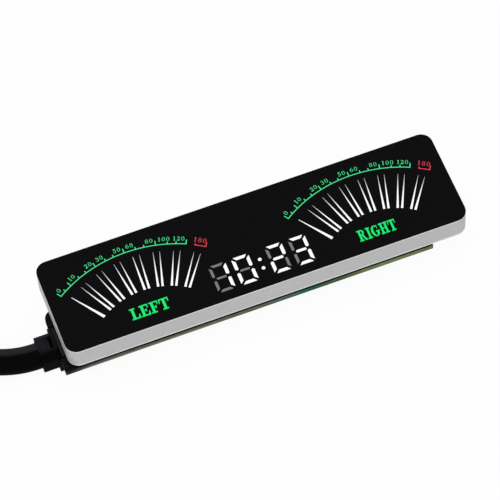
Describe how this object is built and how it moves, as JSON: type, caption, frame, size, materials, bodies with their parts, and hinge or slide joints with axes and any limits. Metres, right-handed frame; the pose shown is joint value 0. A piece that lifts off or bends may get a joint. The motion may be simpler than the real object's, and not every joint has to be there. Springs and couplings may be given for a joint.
{
  "type": "dual level meter and clock module",
  "caption": "Slim LED display module with two lit level-meter dials and a clock, on its driver board, with a plug-in lead.",
  "frame": {"origin": "bottom centre of the module's box without the lead, on the surface that it lies on", "axes": "+X along the face from the lead's end, +Y to the face's upper edge as read, +Z out of the face"},
  "size_m": [0.2367, 0.0656, 0.0165],
  "materials": {
    "film": "semi-gloss printed film",
    "housing": "satin moulded plastic",
    "white_light": "lit diffuse resin",
    "green_light": "lit diffuse resin",
    "red_light": "lit diffuse resin",
    "light_board": "solder mask",
    "main_board": "solder mask",
    "white_chip": "phosphor resin",
    "green_chip": "clear resin",
    "red_chip": "clear resin",
    "tinned": "tin plate",
    "chip_black": "moulded epoxy",
    "crystal_can": "nickel plate",
    "resistor": "glazed top",
    "ceramic_tan": "fired ceramic",
    "can": "drawn can",
    "black_base": "moulded",
    "switch_black": "moulded",
    "cover_steel": "stamped",
    "spring_dome": "spring bronze",
    "button": "moulded",
    "shell_steel": "nickel-plated sheet",
    "contact": "gold flash",
    "plug_black": "moulded vinyl",
    "insert_black": "moulded nylon",
    "cable": "vinyl jacket",
    "strap": "woven strap"
  },
  "bodies": {
    "module": {"front_film": "film", "display_housing": "housing", "left_pointer_lights": "white_light", "right_pointer_lights": "white_light", "left_scale_light": "green_light", "right_scale_light": "green_light", "left_peak_light": "red_light", "right_peak_light": "red_light", "hour_tens_segments": "white_light", "hour_units_segments": "white_light", "minute_tens_segments": "white_light", "minute_units_segments": "white_light", "colon_lights": "white_light", "led_board": "light_board", "white_led_chips": "white_chip", "green_led_chips": "green_chip", "red_led_chips": "red_chip", "front_display_pins": "tinned", "rear_display_pins": "tinned", "main_board": "main_board", "controller_chip": "chip_black", "controller_leads": "tinned", "driver_chips": "chip_black", "driver_leads": "tinned", "clock_chip": "chip_black", "clock_chip_leads": "tinned", "clock_crystal": "crystal_can", "regulator": "chip_black", "regulator_tab": "tinned", "chip_resistors": "resistor", "chip_capacitors": "ceramic_tan", "chip_end_caps": "tinned", "capacitor_cans": "can", "capacitor_bases": "black_base", "switch_bodies": "switch_black", "switch_covers": "cover_steel", "switch_domes": "spring_dome", "switch_legs": "tinned", "socket_shell": "shell_steel", "socket_core": "insert_black", "socket_contacts": "contact"},
    "set_key": {"set_button": "button"},
    "up_key": {"up_button": "button"},
    "down_key": {"down_button": "button"},
    "lead": {"lead_plug": "plug_black", "plug_insert": "insert_black", "plug_contacts": "contact", "lead_cable": "cable", "lead_coil": "cable", "lead_ties": "strap", "far_plug": "plug_black", "far_insert": "insert_black", "far_contacts": "contact"}
  },
  "joints": [
    {"name": "set_press", "type": "slide", "parent": "module", "child": "set_key", "axis": [0, 0, 1], "range_m": [0, 0.00025], "stiffness_N_per_m": 6400},
    {"name": "up_press", "type": "slide", "parent": "module", "child": "up_key", "axis": [0, 0, 1], "range_m": [0, 0.00025], "stiffness_N_per_m": 6400},
    {"name": "down_press", "type": "slide", "parent": "module", "child": "down_key", "axis": [0, 0, 1], "range_m": [0, 0.00025], "stiffness_N_per_m": 6400},
    {"name": "lead_pull", "type": "slide", "parent": "module", "child": "lead", "axis": [-1, 0, 0], "range_m": [0, 0.008]}
  ]
}
